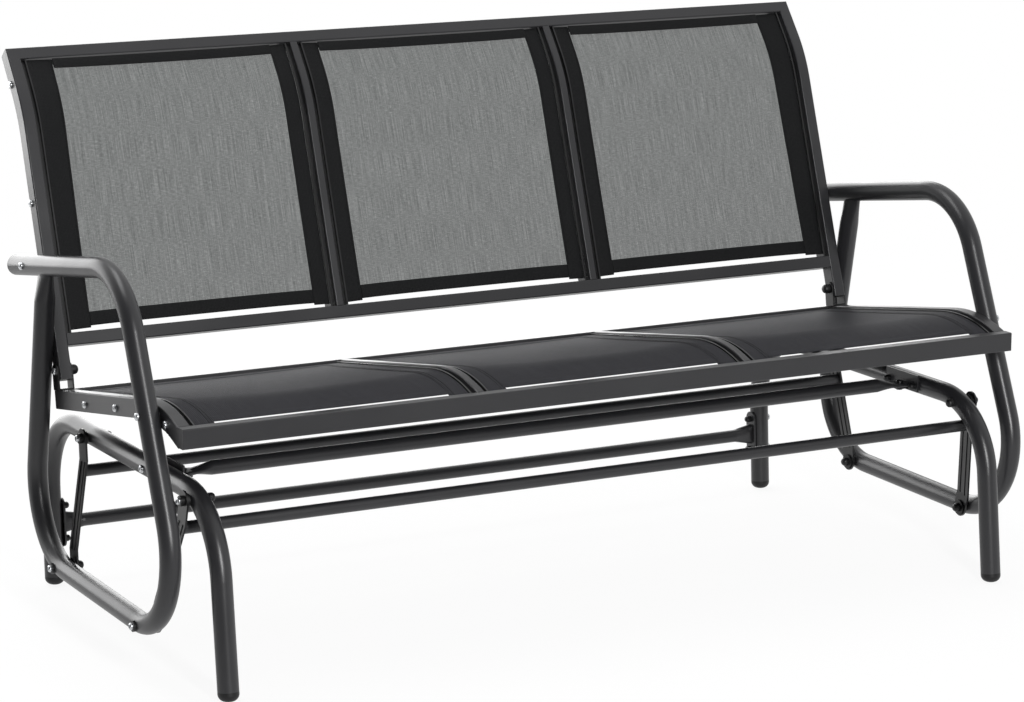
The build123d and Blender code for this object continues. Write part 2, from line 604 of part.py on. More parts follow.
# Fixing points between the arms, the back and the seat
back_middle = (back_foot[0] + RAIL_DEPTH / 2 * back_in[0], back_foot[1] + RAIL_DEPTH / 2 * back_in[1])
rest_fall = tan(radians(ARMREST_RISE))
up_to_arm = (armrest_height(back_middle[0]) - back_middle[1]) / (back_up[1] + rest_fall * back_up[0])
arm_spot = (back_middle[0] + up_to_arm * back_up[0], back_middle[1] + up_to_arm * back_up[1])
post_height = crown_height - POST_BOLT_DROP
post_spot = (front_post_y(post_height), post_height)
u_spot = (back_middle[0] + U_BOLT_UP * back_up[0], back_middle[1] + U_BOLT_UP * back_up[1])

# Arm loops: the rear post is pressed narrower at its top and welded under the armrest
post_low = arm_path @ 1
post_way = (-sin(radians(REAR_POST_LEAN)), cos(radians(REAR_POST_LEAN)))
post_rise = (armrest_height(post_low.Y) - post_low.Z) / (post_way[1] + rest_fall * post_way[0])
post_plane = Plane(origin=post_low, x_dir=(1, 0, 0), z_dir=(0, post_way[0], post_way[1]))
pinch_plane = post_plane.offset(post_rise - ARM_TUBE / 2 - POST_PINCH_LENGTH)
weld_plane = post_plane.offset(post_rise - ARM_TUBE / 2)


def post_solid(shrink):
    """Straight part of the rear post with its pressed top, made smaller all round by shrink."""
    straight_length = post_rise - ARM_TUBE / 2 - POST_PINCH_LENGTH
    straight = extrude(post_plane * Circle(ARM_TUBE / 2 - shrink), amount=straight_length)
    pressed = Ellipse(POST_PINCH_THICKNESS / 2 - shrink, POST_PINCH_WIDTH / 2 - shrink)
    pinch = loft([pinch_plane * Circle(ARM_TUBE / 2 - shrink), weld_plane * pressed])
    return straight + pinch + extrude(weld_plane * pressed, amount=ARM_TUBE / 4)


arm_loop = along(arm_path, Circle(ARM_TUBE / 2)) + post_solid(0)
arm_loop -= along(arm_path, Circle(ARM_TUBE / 2 - ARM_WALL)) + post_solid(ARM_WALL)
for spot in lower_pivots:
    arm_loop -= rod(arm_inner, arm_outer, spot, PIVOT_BOLT + 2 * HOLE_FIT)
for spot in (arm_spot, post_spot):
    arm_loop -= rod(arm_inner, arm_outer, spot, FRAME_BOLT + 2 * HOLE_FIT)
nodes["arm_loop_right"], nodes["arm_loop_left"] = both(arm_loop)

arm_end = square_to(arm_path)
arm_plug = extrude(arm_end * Circle(ARM_TUBE / 2), amount=-PLUG_RIM)
arm_plug += extrude(arm_end * Circle(ARM_TUBE / 2 - ARM_WALL - SNUG_FIT), amount=PLUG_DEPTH)
nodes["arm_end_plugs"] = group(both(arm_plug))

# Seat frame: the side rails and dividers follow the seat's profile and stop at the front rail
front_face = Plane(origin=(0, FRONT_RAIL_BACK, 0), z_dir=(0, 1, 0))
seat_down = (-sin(radians(SEAT_RISE)), -cos(radians(SEAT_RISE)))
seat_back = (cos(radians(SEAT_RISE)), -sin(radians(SEAT_RISE)))
rear_rail_profile = [
    (seat_rear - RAIL_WIDTH * seat_back[0], seat_rear_height - RAIL_WIDTH * seat_back[1]),
    seat_profile[1],
    seat_profile[2],
]


def seat_bar(x, profile, width):
    """Rectangular tube along the seat's profile, closed at the rear and cut off at the front rail."""
    path = profile_path(x, profile, SEAT_BEND, SEAT_RAIL_DEPTH / 2)
    bar = box_tube(path, width, SEAT_RAIL_DEPTH, RAIL_WALL, RAIL_CORNER)
    bar += extrude(square_to(path) * RectangleRounded(width, SEAT_RAIL_DEPTH, RAIL_CORNER), amount=RAIL_WALL)
    return split(bar, bisect_by=front_face, keep=Keep.TOP)


def back_part(from_top, from_bottom):
    """The back's profile, shortened at its top and its foot."""
    top = (back_top[0] - from_top * top_up[0], back_top[1] - from_top * top_up[1])
    foot = (back_foot[0] + from_bottom * back_up[0], back_foot[1] + from_bottom * back_up[1])
    return [top, back_corner, foot]


def screw_spots(profile, bend, shares):
    """Places of the sling screws, at shares of the length of a sling rail that follows the profile."""
    path = profile_path(seat_half, profile, bend, SCREW_DROP)
    spots = [path.position_at(share * path.length, position_mode=PositionMode.LENGTH) for share in shares]
    return [(spot.Y, spot.Z) for spot in spots]


seat_rail_run = [rear_rail_profile[0], seat_profile[1], (FRONT_RAIL_BACK, front_rail_top)]
seat_screw_spots = screw_spots(seat_rail_run, SEAT_BEND, SEAT_SCREWS)
between_rails = back_part(RAIL_WIDTH, BACK_BOTTOM_RAIL_UP + RAIL_WIDTH)
back_screw_spots = screw_spots(between_rails, BACK_BEND, BACK_SCREWS)
screw_hole = SCREW + 2 * SNUG_FIT

side_rail = seat_bar(seat_half - RAIL_WIDTH / 2, seat_profile, RAIL_WIDTH)
side_rail -= rod(seat_half - RAIL_WIDTH / 2, seat_half, post_spot, FRAME_BOLT + 2 * HOLE_FIT)
for spot in seat_screw_spots:
    side_rail -= rod(rail_inner, seat_half, spot, screw_hole)
nodes["seat_side_rail_right"], nodes["seat_side_rail_left"] = both(side_rail)

seat_divider = seat_bar(DIVIDER_SPREAD, rear_rail_profile, DIVIDER_WIDTH)
for spot in seat_screw_spots:
    half = DIVIDER_WIDTH / 2
    seat_divider -= rod(DIVIDER_SPREAD - half, DIVIDER_SPREAD + half, spot, screw_hole)
nodes["seat_divider_right"], nodes["seat_divider_left"] = both(seat_divider)


def cross_tube(end_x, centre, depth, down, bore_end):
    """Rectangular tube along X from -end_x to end_x, deep along down, bored from -bore_end to bore_end."""
    plane = Plane(origin=(-end_x, *centre), x_dir=(0, down[0], down[1]), z_dir=(1, 0, 0))
    outer = extrude(plane * RectangleRounded(depth, RAIL_WIDTH, RAIL_CORNER), amount=2 * end_x)
    inner = RectangleRounded(depth - 2 * RAIL_WALL, RAIL_WIDTH - 2 * RAIL_WALL, RAIL_CORNER - RAIL_WALL)
    return outer - extrude(plane.offset(end_x - bore_end) * inner, amount=2 * bore_end)


# The front rail's ends are closed, so it has a drain hole below near each end
front_rail_centre = (FRONT_RAIL_BACK - RAIL_WIDTH / 2, front_rail_top - SEAT_RAIL_DEPTH / 2)
front_rail = cross_tube(seat_half, front_rail_centre, SEAT_RAIL_DEPTH, (0, -1), seat_half - RAIL_WALL)
drain = Pos(rail_inner, front_rail_centre[0], front_rail_top - SEAT_RAIL_DEPTH)
nodes["seat_front_rail"] = front_rail - both(drain * Cylinder(DRAIN_HOLE / 2, SEAT_RAIL_DEPTH))

rear_rail_centre = (
    seat_rear - RAIL_WIDTH / 2 * seat_back[0] + SEAT_RAIL_DEPTH / 2 * seat_down[0],
    seat_rear_height - RAIL_WIDTH / 2 * seat_back[1] + SEAT_RAIL_DEPTH / 2 * seat_down[1],
)
nodes["seat_rear_rail"] = cross_tube(rail_inner, rear_rail_centre, SEAT_RAIL_DEPTH, seat_down, rail_inner)

# Back frame: the top rail meets the uprights in mitres, and the bottom rail and the dividers butt
mitre = Plane(origin=(seat_half, *back_top), x_dir=(0, *top_in), z_dir=(1, -top_up[0], -top_up[1]))
top_rail_centre = (
    back_top[0] - RAIL_WIDTH / 2 * top_up[0] + RAIL_DEPTH / 2 * top_in[0],
    back_top[1] - RAIL_WIDTH / 2 * top_up[1] + RAIL_DEPTH / 2 * top_in[1],
)
top_rail = cross_tube(seat_half, top_rail_centre, RAIL_DEPTH, top_in, seat_half)
top_rail = split(top_rail, bisect_by=mitre, keep=Keep.BOTTOM)
nodes["back_top_rail"] = top_rail & mirror(top_rail, about=Plane.YZ)
rail_up = BACK_BOTTOM_RAIL_UP + RAIL_WIDTH / 2
bottom_rail_centre = (back_middle[0] + rail_up * back_up[0], back_middle[1] + rail_up * back_up[1])
nodes["back_bottom_rail"] = cross_tube(rail_inner, bottom_rail_centre, RAIL_DEPTH, back_in, rail_inner)

upright_path = profile_path(seat_half - RAIL_WIDTH / 2, back_profile, BACK_BEND, RAIL_DEPTH / 2)
upright = box_tube(upright_path, RAIL_WIDTH, RAIL_DEPTH, RAIL_WALL, RAIL_CORNER)
upright = split(upright, bisect_by=mitre, keep=Keep.TOP)
upright -= rod(rail_inner, seat_half, u_spot, FRAME_BOLT + 2 * HOLE_FIT)
upright -= rod(seat_half - RAIL_WIDTH / 2, seat_half, arm_spot, FRAME_BOLT + 2 * HOLE_FIT)
for spot in back_screw_spots:
    upright -= rod(rail_inner, seat_half, spot, screw_hole)
nodes["back_upright_right"], nodes["back_upright_left"] = both(upright)

back_divider_path = profile_path(DIVIDER_SPREAD, between_rails, BACK_BEND, RAIL_DEPTH / 2)
back_divider = box_tube(back_divider_path, DIVIDER_WIDTH, RAIL_DEPTH, RAIL_WALL, RAIL_CORNER)
for spot in back_screw_spots:
    half = DIVIDER_WIDTH / 2
    back_divider -= rod(DIVIDER_SPREAD - half, DIVIDER_SPREAD + half, spot, screw_hole)
nodes["back_divider_right"], nodes["back_divider_left"] = both(back_divider)

upright_end = Plane(origin=upright_path @ 1, x_dir=(1, 0, 0), z_dir=(0, back_up[0], back_up[1]))
plug_width = RAIL_WIDTH - 2 * (RAIL_WALL + SNUG_FIT)
plug_depth = RAIL_DEPTH - 2 * (RAIL_WALL + SNUG_FIT)
plug_section = RectangleRounded(plug_width, plug_depth, RAIL_CORNER - RAIL_WALL)
upright_plug = extrude(upright_end * plug_section, amount=U_BOLT_UP - FRAME_BOLT)
nodes["upright_plugs"] = group(both(upright_plug))

# U-brackets: a base on the side rail and two round-topped ears beside the upright
u_rise = (u_spot[1] - SEAT_CREST_HEIGHT + (u_spot[0] - SEAT_CREST) * seat_slope) * cos(radians(SEAT_RISE))
u_foot = (u_spot[0] + u_rise * seat_down[0], u_spot[1] + u_rise * seat_down[1])
ear_in = rail_inner - SEAT_GAP - U_PLATE
ear_out = seat_half + SEAT_GAP + U_PLATE
ear_plane = Plane(origin=(ear_in, *u_foot), x_dir=(0, seat_back[0], seat_back[1]), z_dir=(1, 0, 0))
ear_outline = Pos(0, u_rise / 2) * Rectangle(U_WIDTH, u_rise) + Pos(0, u_rise) * Circle(U_WIDTH / 2)
gap_outline = Pos(0, U_PLATE + u_rise) * Rectangle(2 * U_WIDTH, 2 * u_rise)
u_bracket = extrude(ear_plane * ear_outline, amount=ear_out - ear_in)
u_bracket -= extrude(ear_plane.offset(U_PLATE) * gap_outline, amount=ear_out - ear_in - 2 * U_PLATE)
u_bracket -= rod(ear_in, ear_out, u_spot, FRAME_BOLT + 2 * HOLE_FIT)
nodes["back_brackets"] = group(both(u_bracket))
u_tip = ear_in - BACK_NUT_LENGTH * 0.7
u_bolt = button_bolt(ear_out, u_tip, u_spot, FRAME_BOLT, FRAME_HEAD, FRAME_HEAD_HEIGHT, frame_socket)
u_nut = cap_nut(ear_in, u_spot, FRAME_BOLT + 2 * SNUG_FIT, BACK_NUT, BACK_NUT_LENGTH, -1)
nodes["back_bolts"] = group(both(u_bolt))
nodes["back_nuts"] = group(both(u_nut))

# Bolts from the arms into insert nuts in the uprights and side rails
insert_face = seat_half - RAIL_WALL
insert_tip = insert_face - INSERT_LENGTH
arm_bolts = []
inserts = []
for spot in (arm_spot, post_spot):
    bolt = button_bolt(arm_outer, insert_tip, spot, FRAME_BOLT, FRAME_HEAD, FRAME_HEAD_HEIGHT, frame_socket)
    arm_bolts += both(bolt)
    thread = FRAME_BOLT + 2 * SNUG_FIT
    inserts += both(ring(insert_tip, insert_face, spot, thread + 2 * INSERT_WALL, thread))
nodes["arm_bolts"] = group(arm_bolts)
nodes["arm_inserts"] = group(inserts)

# Sling rails: an L-shaped strip with a lip, one on each side of every sling
divider_in = DIVIDER_SPREAD - DIVIDER_WIDTH / 2
divider_out = DIVIDER_SPREAD + DIVIDER_WIDTH / 2


def keder(face_x, outward, profile, bend, spots):
    """Hollow sling rail along a profile, screwed to the frame face at face_x and reaching towards outward."""
    depth = KEDER_BOTTOM_DROP - KEDER_GROOVE_DROP
    base_middle = KEDER_GROOVE_DROP + depth / 2
    base_path = profile_path(face_x + outward * KEDER_WIDTH / 2, profile, bend, base_middle)
    strip = along(base_path, Rectangle(KEDER_WIDTH, depth))
    strip -= along(base_path, Rectangle(KEDER_WIDTH - 2 * KEDER_WALL, depth - 2 * KEDER_WALL))
    lip_bottom = KEDER_GROOVE_DROP + KEDER_WALL
    lip_x = face_x + outward * (KEDER_WIDTH - KEDER_LIP / 2)
    lip_path = profile_path(lip_x, profile, bend, (KEDER_LIP_DROP + lip_bottom) / 2)
    strip += along(lip_path, Rectangle(KEDER_LIP, lip_bottom - KEDER_LIP_DROP))
    for spot in spots:
        strip -= rod(face_x, face_x + outward * SCREW_BITE, spot, screw_hole)
    return strip


faces = ((rail_inner, -1), (divider_out, 1), (divider_in, -1))
seat_rails = []
back_rails = []
for face_x, outward in faces:
    seat_keder = keder(face_x, outward, rear_rail_profile, SEAT_BEND, seat_screw_spots)
    seat_rails += both(split(seat_keder, bisect_by=front_face, keep=Keep.TOP))
    back_rails += both(keder(face_x, outward, between_rails, BACK_BEND, back_screw_spots))
nodes["seat_sling_rails"] = group(seat_rails)
nodes["back_sling_rails"] = group(back_rails)

# Slings: thin sheets between the sling rails, just below the frame's faces
sling_middle = SLING_DROP + SLING_THICKNESS / 2
outer_start = divider_out + KEDER_WIDTH + SEAT_GAP
outer_end = rail_inner - KEDER_WIDTH - SEAT_GAP
inner_half = divider_in - KEDER_WIDTH - SEAT_GAP
sling_front = Plane(origin=(0, FRONT_RAIL_BACK + SLING_FRONT_GAP, 0), z_dir=(0, 1, 0))
sling_rear = RAIL_WIDTH + SLING_REAR_GAP
seat_sling_profile = [
    (seat_rear - sling_rear * seat_back[0], seat_rear_height - sling_rear * seat_back[1]),
    seat_profile[1],
    seat_profile[2],
]
sling_foot = BACK_BOTTOM_RAIL_UP + RAIL_WIDTH + SLING_BOTTOM_GAP
back_sling_profile = back_part(RAIL_WIDTH + SLING_TOP_GAP, sling_foot)


def sling(centre_x, width, profile, bend):
    path = profile_path(centre_x, profile, bend, sling_middle)
    return along(path, Rectangle(width, SLING_THICKNESS))


outer_centre = (outer_start + outer_end) / 2
outer_width = outer_end - outer_start
for side, centre_x, width in (
    ("left", -outer_centre, outer_width),
    ("middle", 0, 2 * inner_half),
    ("right", outer_centre, outer_width),
):
    seat_sling = sling(centre_x, width, seat_sling_profile, SEAT_BEND)
    nodes["seat_sling_" + side] = split(seat_sling, bisect_by=sling_front, keep=Keep.TOP)
    nodes["back_sling_" + side] = sling(centre_x, width, back_sling_profile, BACK_BEND)

# Screws from the outer faces into the outer sling rails, and rivets through the dividers
screw_cross = cross_slot(SCREW_CROSS, SCREW_SLOT)
screws = []
rivets = []
rivet_start = divider_in - SCREW_BITE
rivet_end = divider_out + SCREW_BITE
for spot in seat_screw_spots + back_screw_spots:
    screw_tip = rail_inner - SCREW_BITE
    screw = button_bolt(seat_half, screw_tip, spot, SCREW, SCREW_HEAD, SCREW_HEAD_HEIGHT, screw_cross)
    screws += both(screw)
    rivets += both(rod(rivet_start, rivet_end, spot, SCREW))
nodes["sling_screws"] = group(screws)
nodes["divider_rivets"] = group(rivets)

os.makedirs("parts", exist_ok=True)
for name, part in nodes.items():
    export_step(Pos(0, -centre_y, 0) * part, "parts/" + name + ".step")

print("moved by", round(-centre_y, 3))
print("front upper pivot", round(front_upper[0] - centre_y, 3), round(front_upper[1], 3))
print("rear upper pivot", round(rear_upper[0] - centre_y, 3), round(rear_upper[1], 3))
print("front lower pivot", round(front_lower[0] - centre_y, 3), round(front_lower[1], 3))
print("rear lower pivot", round(rear_lower[0] - centre_y, 3), round(rear_lower[1], 3))
print("front foot", round(front_foot_y - centre_y, 3), "rear foot", round(rear_foot_y - centre_y, 3))
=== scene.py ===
import json
import math

import bpy
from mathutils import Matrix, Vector


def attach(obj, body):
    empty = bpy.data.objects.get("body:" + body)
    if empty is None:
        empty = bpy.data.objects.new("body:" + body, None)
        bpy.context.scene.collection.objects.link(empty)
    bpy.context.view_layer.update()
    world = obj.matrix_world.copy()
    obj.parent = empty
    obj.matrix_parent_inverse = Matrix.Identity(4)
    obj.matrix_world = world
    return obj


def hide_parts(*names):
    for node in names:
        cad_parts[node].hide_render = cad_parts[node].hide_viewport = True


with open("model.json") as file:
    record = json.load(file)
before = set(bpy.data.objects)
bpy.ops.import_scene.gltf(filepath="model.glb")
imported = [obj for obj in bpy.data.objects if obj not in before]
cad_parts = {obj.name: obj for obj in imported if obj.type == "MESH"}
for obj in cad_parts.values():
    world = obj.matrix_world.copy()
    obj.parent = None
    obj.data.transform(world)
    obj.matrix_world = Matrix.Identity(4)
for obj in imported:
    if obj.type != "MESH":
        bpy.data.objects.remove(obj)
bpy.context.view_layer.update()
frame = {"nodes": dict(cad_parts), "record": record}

# Sizes in metres, in the bench's own frame: X along the bench, -Y to the sitter's front, Z up.

# Side profiles of the front faces of the seat and the back between the ends of the cloth, as (y, z): each is
# two straight runs with a rounded corner between them
SEAT_CORNERS = ((0.15362, 0.36121), (-0.24055, 0.42470), (-0.30440, 0.40209))
SEAT_BEND = 0.260
BACK_CORNERS = ((0.34244, 0.85069), (0.28888, 0.78214), (0.17736, 0.45270))
BACK_BEND = 0.250

# Cloth bays: left, middle and right, between the lips of the sling rails
OUTER_BAY = (0.2491, 0.6907)
MIDDLE_BAY = 0.2175

# Cloth: how deep it lies behind the front faces, its thickness, and the step and smoothing of its grid
CLOTH_DEPTH = 0.00525
CLOTH_THICKNESS = 0.0009
CLOTH_STEP = 0.010
CLOTH_SMOOTHING = math.radians(50)

# Hems: cloth folded over and sewn down. The outer hems of the back are wider at the top. The side and top
# hems start a little before the cloth, and the side hems reach a little past the end of its line. The edges
# of a hem are rounded by a share of its thickness.
HEM_THICKNESS = 0.0024
SEAT_HEM_THICKNESS = 0.0018
HEM_ROUNDING = 0.35
OUTER_HEM_TOP = 0.042
OUTER_HEM_FOOT = 0.034
DIVIDER_HEM = 0.027
TOP_HEM = 0.016
TOP_HEM_LIFT = 0.0028
FOOT_HEM = 0.022
SEAT_END_HEM = 0.014
SEAT_SIDE_HEM = 0.032
HEM_START = -0.001
BACK_HEM_REACH = 0.003
SEAT_HEM_REACH = 0.004

# Stitches along the hems
STITCH_WIDTH = 0.0009
STITCH_LENGTH = 0.0028
STITCH_GAP = 0.0014
STITCH_THICKNESS = 0.0006
STITCH_INSET = 0.003
STITCH_END_GAP = 0.004
SEAT_STITCH_ROWS = (0.024, 0.029)

# How far the stretched cloth sags between its rails, how far the free ends of the back draw in, and how far
# the cloth of the seat stops short of the end of its line
SEAT_SAG = 0.007
BACK_SAG = 0.005
BACK_DRAW = 0.002
SEAT_FRONT_STEP = 0.005

# Powder coat and zinc plate: the width of the coat's patches of slightly other tone, and how much the gloss
# of each varies
COAT_PATCH_MM = 120.0
COAT_GLOSS_DRIFT = 0.04
PLATE_GLOSS_DRIFT = 0.06

# Yarns of the cloth: slubs run its length and picks run across it, and both vary how much shows through.
# Their streaks are drawn coarser than the real ones, as the weave is.
YARN_STREAK_MM = 1.3158
SLUB_LENGTH_MM = 62.5
PICK_LENGTH_MM = 8.333
SLUB_SHARE = 0.55
YARN_RELIEF = 0.0004
OPENNESS_DRIFT = 0.24

# Height of the weave in a pin hole and on a yarn, and how much more or less shows through there
HOLE_HEIGHT = 0.35
YARN_HEIGHT = 0.95
OPEN_IN_HOLE = 1.3
OPEN_ON_YARN = 0.82

# Range that most of a noise pattern lies in
NOISE_LOW = 0.3
NOISE_HIGH = 0.7

# Sockets of a colour mix: its share, its two colours and its result
MIX_SHARE = 0
MIX_FIRST = 6
MIX_SECOND = 7
MIX_RESULT = 2

# Ground: near the bench a small share of it is left to the shadow. In reflections it glows with a painted
# light whose brightness rises with x + y, from a painted dim front left to a painted lit rear right.
GROUND_SIZE = 60.0
GROUND_DROP = 0.0005
SHADOW_NEAR = 1.0
SHADOW_FAR = 3.0
WHITE_NEAR = 0.9
GROUND_DIM_AT = -2.8
GROUND_LIT_AT = -0.8
GROUND_DIM = 0.12
GROUND_LIT = 0.85

# Room around the bench: dim in front and to the left, bright behind and to the right
ROOM_DIM_AT = -0.9
ROOM_LIT_AT = 0.0
ROOM_DIM = 0.08
ROOM_LIT = 0.85
WHITE = (1.0, 1.0, 1.0, 1.0)

# Camera: its place, how far it looks down and turns to the right in degrees, how far it sees, and its focal
# length in pixels of a picture of this width
CAMERA_PLACE = (-2.5555, -4.75891, 1.5289)
CAMERA_DOWN = 12.0072
CAMERA_RIGHT = 28.0989
CAMERA_REACH = 200.0
FOCAL_PIXELS = 3460.2
PICTURE_WIDTH = 1024
SENSOR_WIDTH = 36.0


def select_only(piece):
    bpy.ops.object.select_all(action="DESELECT")
    piece.select_set(True)
    bpy.context.view_layer.objects.active = piece


def apply_modifiers(piece):
    select_only(piece)
    for modifier in list(piece.modifiers):
        bpy.ops.object.modifier_apply(modifier=modifier.name)


def colour(code):
    """sRGB hex code as linear RGBA."""
    parts = [int(code[i:i + 2], 16) / 255 for i in (1, 3, 5)]
    linear = [p / 12.92 if p <= 0.04045 else ((p + 0.055) / 1.055) ** 2.4 for p in parts]
    return (*linear, 1.0)


def node(tree, kind, inputs=None, **settings):
    """Adds a node with its settings; an input is a value or another node's output socket."""
    made = tree.nodes.new(kind)
    for name, value in settings.items():
        setattr(made, name, value)
    for name, value in (inputs or {}).items():
        if isinstance(value, bpy.types.NodeSocket):
            tree.links.new(value, made.inputs[name])
        else:
            made.inputs[name].default_value = value
    return made


def new_material(name):
    material = bpy.data.materials.new(name)
    material.use_nodes = True
    material.node_tree.nodes.clear()
    return material, material.node_tree


def finish_material(tree, shader):
    node(tree, "ShaderNodeOutputMaterial", {"Surface": shader.outputs[0]})


def coated_metal(name, dark, light, roughness, peel_mm, peel_depth_mm):
    """Powder coat baked on metal: fine orange peel, faint colour drift and a satin gloss that varies a
    little. The peel is drawn a little coarser than it is, so that it shows in the highlights."""
    material, tree = new_material(name)
    place = node(tree, "ShaderNodeTexCoord").outputs["Object"]
    drift = node(
        tree,
        "ShaderNodeTexNoise",
        {"Vector": place, "Scale": 1000 / COAT_PATCH_MM, "Detail": 3.0},
    )
    tone = node(
        tree,
        "ShaderNodeMix",
        {MIX_SHARE: drift.outputs["Fac"], MIX_FIRST: colour(dark), MIX_SECOND: colour(light)},
        data_type="RGBA",
    )
    gloss = node(
        tree,
        "ShaderNodeMapRange",
        {
            "Value": drift.outputs["Fac"],
            "From Min": NOISE_LOW,
            "From Max": NOISE_HIGH,
            "To Min": roughness - COAT_GLOSS_DRIFT,
            "To Max": roughness + COAT_GLOSS_DRIFT,
        },
    )
    peel = node(tree, "ShaderNodeTexNoise", {"Vector": place, "Scale": 1000 / peel_mm, "Detail": 2.0})
    bump = node(
        tree,
        "ShaderNodeBump",
        {"Height": peel.outputs["Fac"], "Distance": peel_depth_mm / 1000, "Strength": 0.5},
    )
    shader = node(
        tree,
        "ShaderNodeBsdfPrincipled",
        {
            "Base Color": tone.outputs[MIX_RESULT],
            "Roughness": gloss.outputs[0],
            "Normal": bump.outputs[0],
            "IOR": 1.5,
        },
    )
    finish_material(tree, shader)
    return material


def plated_metal(name, dark, light, roughness, grain_mm, grain_depth_mm):
    """Zinc plate on steel: a fine grain that breaks up the reflection."""
    material, tree = new_material(name)
    place = node(tree, "ShaderNodeTexCoord").outputs["Object"]
    grain = node(tree, "ShaderNodeTexNoise", {"Vector": place, "Scale": 1000 / grain_mm, "Detail": 4.0})
    tone = node(
        tree,
        "ShaderNodeMix",
        {MIX_SHARE: grain.outputs["Fac"], MIX_FIRST: colour(dark), MIX_SECOND: colour(light)},
        data_type="RGBA",
    )
    gloss = node(
        tree,
        "ShaderNodeMapRange",
        {
            "Value": grain.outputs["Fac"],
            "To Min": roughness - PLATE_GLOSS_DRIFT,
            "To Max": roughness + PLATE_GLOSS_DRIFT,
        },
    )
    bump = node(
        tree,
        "ShaderNodeBump",
        {"Height": grain.outputs["Fac"], "Distance": grain_depth_mm / 1000, "Strength": 0.4},
    )
    shader = node(
        tree,
        "ShaderNodeBsdfPrincipled",
        {
            "Base Color": tone.outputs[MIX_RESULT],
            "Roughness": gloss.outputs[0],
            "Normal": bump.outputs[0],
            "Metallic": 1.0,
        },
    )
    finish_material(tree, shader)
    return material


def moulded_plastic(name, dark, light, roughness, grain_mm, grain_depth_mm):
    """Black polypropylene moulded in a lightly grained tool: dull, with soft broad highlights."""
    material, tree = new_material(name)
    place = node(tree, "ShaderNodeTexCoord").outputs["Object"]
    grain = node(tree, "ShaderNodeTexNoise", {"Vector": place, "Scale": 1000 / grain_mm, "Detail": 3.0})
    tone = node(
        tree,
        "ShaderNodeMix",
        {MIX_SHARE: grain.outputs["Fac"], MIX_FIRST: colour(dark), MIX_SECOND: colour(light)},
        data_type="RGBA",
    )
    bump = node(
        tree,
        "ShaderNodeBump",
        {"Height": grain.outputs["Fac"], "Distance": grain_depth_mm / 1000, "Strength": 0.5},
    )
    shader = node(
        tree,
        "ShaderNodeBsdfPrincipled",
        {
            "Base Color": tone.outputs[MIX_RESULT],
            "Roughness": roughness,
            "Normal": bump.outputs[0],
            "Specular IOR Level": 0.35,
        },
    )
    finish_material(tree, shader)
    return material


def woven_cloth(name, yarn, fleck, pitch_mm, openness, gloss, roughness):
    """Vinyl-coated polyester mesh: round yarns in a plain weave with pin holes between them, and thicker
    slub yarns that run the length of the cloth. openness is the share that shows through one face."""
    material, tree = new_material(name)
    cloth = node(tree, "ShaderNodeUVMap", uv_map="cloth").outputs["UV"]
    along = node(tree, "ShaderNodeSeparateXYZ", {0: cloth})
    turns = 2000 * math.pi / pitch_mm
    yarns = []
    for axis in ("X", "Y"):
        angle = node(tree, "ShaderNodeMath", {0: along.outputs[axis], 1: turns}, operation="MULTIPLY")
        wave = node(tree, "ShaderNodeMath", {0: angle.outputs[0]}, operation="COSINE")
        yarns.append(node(tree, "ShaderNodeMapRange", {"Value": wave.outputs[0], "From Min": -1.0}))
    weave = node(
        tree,
        "ShaderNodeMath",
        {0: yarns[0].outputs[0], 1: yarns[1].outputs[0]},
        operation="MAXIMUM",
    )
    streaks = []
    for across_mm, along_mm in ((YARN_STREAK_MM, SLUB_LENGTH_MM), (PICK_LENGTH_MM, YARN_STREAK_MM)):
        scale = (1000 / across_mm, 1000 / along_mm, 1.0)
        stretched = node(tree, "ShaderNodeMapping", {"Vector": cloth, "Scale": scale})
        noise = {"Vector": stretched.outputs[0], "Scale": 1.0, "Detail": 2.0}
        streaks.append(node(tree, "ShaderNodeTexNoise", noise).outputs["Fac"])
    slubs, picks = streaks
    slub_part = node(tree, "ShaderNodeMath", {0: slubs, 1: SLUB_SHARE}, operation="MULTIPLY")
    mixed = node(
        tree,
        "ShaderNodeMath",
        {0: picks, 1: 1 - SLUB_SHARE, 2: slub_part.outputs[0]},
        operation="MULTIPLY_ADD",
    )
    shade = node(tree, "ShaderNodeMath", {0: weave.outputs[0], 1: mixed.outputs[0]}, operation="MULTIPLY")
    tone = node(
        tree,
        "ShaderNodeMix",
        {MIX_SHARE: shade.outputs[0], MIX_FIRST: colour(yarn), MIX_SECOND: colour(fleck)},
        data_type="RGBA",
    )
    bump = node(
        tree,
        "ShaderNodeBump",
        {"Height": weave.outputs[0], "Distance": YARN_RELIEF, "Strength": 0.8},
    )
    finish = {
        "Base Color": tone.outputs[MIX_RESULT],
        "Roughness": roughness,
        "Normal": bump.outputs[0],
        "Specular IOR Level": gloss,
    }
    if openness > 0:
        drift = node(
            tree,
            "ShaderNodeMapRange",
            {
                "Value": mixed.outputs[0],
                "From Min": NOISE_LOW,
                "From Max": NOISE_HIGH,
                "To Min": openness * (1 - OPENNESS_DRIFT),
                "To Max": openness * (1 + OPENNESS_DRIFT),
            },
        )
        hole = node(
            tree,
            "ShaderNodeMapRange",
            {
                "Value": weave.outputs[0],
                "From Min": HOLE_HEIGHT,
                "From Max": YARN_HEIGHT,
                "To Min": OPEN_IN_HOLE,
                "To Max": OPEN_ON_YARN,
            },
        )
        through = node(
            tree,
            "ShaderNodeMath",
            {0: drift.outputs[0], 1: hole.outputs[0]},
            operation="MULTIPLY",
        )
        cover = node(
            tree,
            "ShaderNodeMath",
            {0: 1.0, 1: through.outputs[0]},
            operation="SUBTRACT",
            use_clamp=True,
        )
        finish["Alpha"] = cover.outputs[0]
    shader = node(tree, "ShaderNodeBsdfPrincipled", finish)
    finish_material(tree, shader)
    return material


